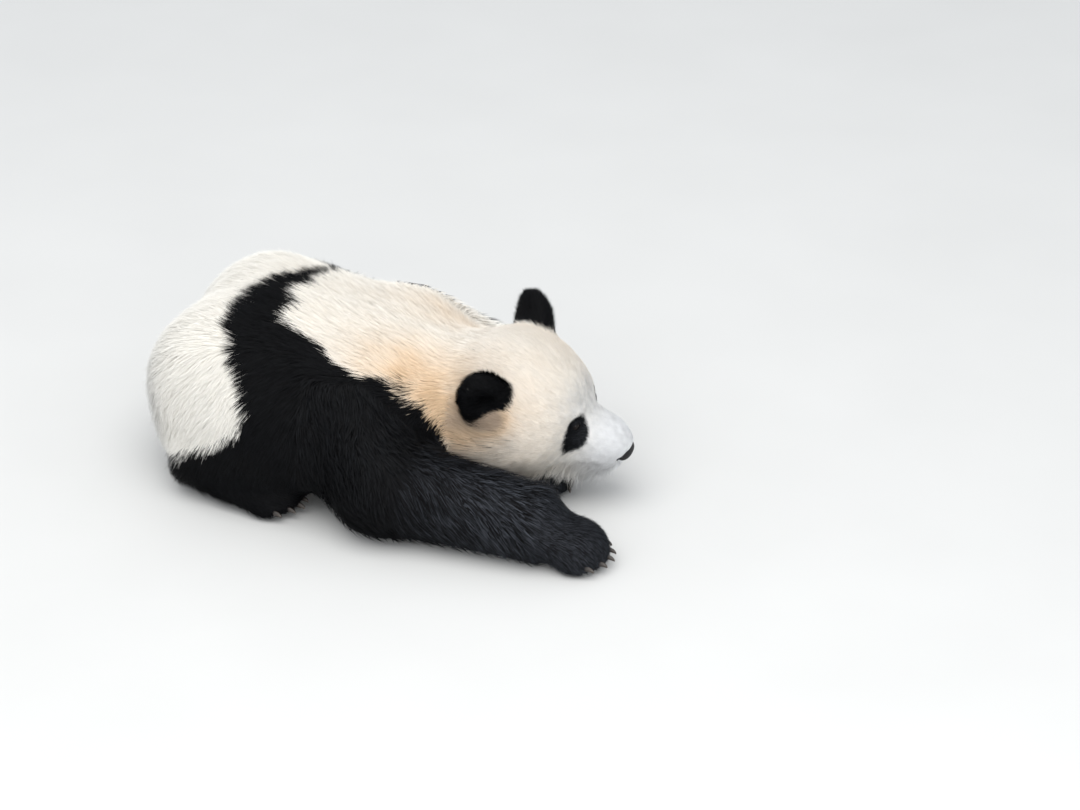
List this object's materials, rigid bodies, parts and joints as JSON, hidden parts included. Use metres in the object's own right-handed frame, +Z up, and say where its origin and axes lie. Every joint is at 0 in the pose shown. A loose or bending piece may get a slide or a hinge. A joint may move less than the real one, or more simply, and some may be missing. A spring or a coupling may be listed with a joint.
{
  "type": "giant panda",
  "caption": "Life-size still model of a young giant panda lying on its belly, chin over a folded forepaw, one foreleg stretched out in front.",
  "frame": {"origin": "on the flat under the belly, in the plane of symmetry of the trunk", "axes": "+Z up, +X toward the head, the animal's left side toward +Y"},
  "size_m": [0.9042, 0.6171, 0.3183],
  "materials": {
    "white_coat": "soft dense fur, cream white",
    "black_coat": "soft dense fur, near black with a cool sheen",
    "nose_skin": "bare, slightly moist skin",
    "eye": "wet gloss, very dark brown",
    "claw_horn": "satin horn"
  },
  "bodies": {
    "root": {"head": "white_coat", "neck": "white_coat", "chest": "white_coat", "abdomen": "white_coat", "rump": "white_coat", "tail": "white_coat", "right_ear": "black_coat", "right_upper_arm": "black_coat", "right_forearm": "black_coat", "right_forepaw": "black_coat", "right_thigh": "black_coat", "right_hind_foot": "black_coat", "left_ear": "black_coat", "left_upper_arm": "black_coat", "left_forearm": "black_coat", "left_forepaw": "black_coat", "left_thigh": "black_coat", "left_hind_foot": "black_coat", "nose": "nose_skin", "right_eye": "eye", "left_eye": "eye", "right_fore_claw_1": "claw_horn", "right_fore_claw_2": "claw_horn", "right_fore_claw_3": "claw_horn", "right_fore_claw_4": "claw_horn", "right_fore_claw_5": "claw_horn", "right_hind_claw_1": "claw_horn", "right_hind_claw_2": "claw_horn", "right_hind_claw_3": "claw_horn", "right_hind_claw_4": "claw_horn", "right_hind_claw_5": "claw_horn", "left_fore_claw_1": "claw_horn", "left_fore_claw_2": "claw_horn", "left_fore_claw_3": "claw_horn", "left_fore_claw_4": "claw_horn", "left_fore_claw_5": "claw_horn", "left_hind_claw_1": "claw_horn", "left_hind_claw_2": "claw_horn", "left_hind_claw_3": "claw_horn", "left_hind_claw_4": "claw_horn", "left_hind_claw_5": "claw_horn"}
  },
  "joints": []
}
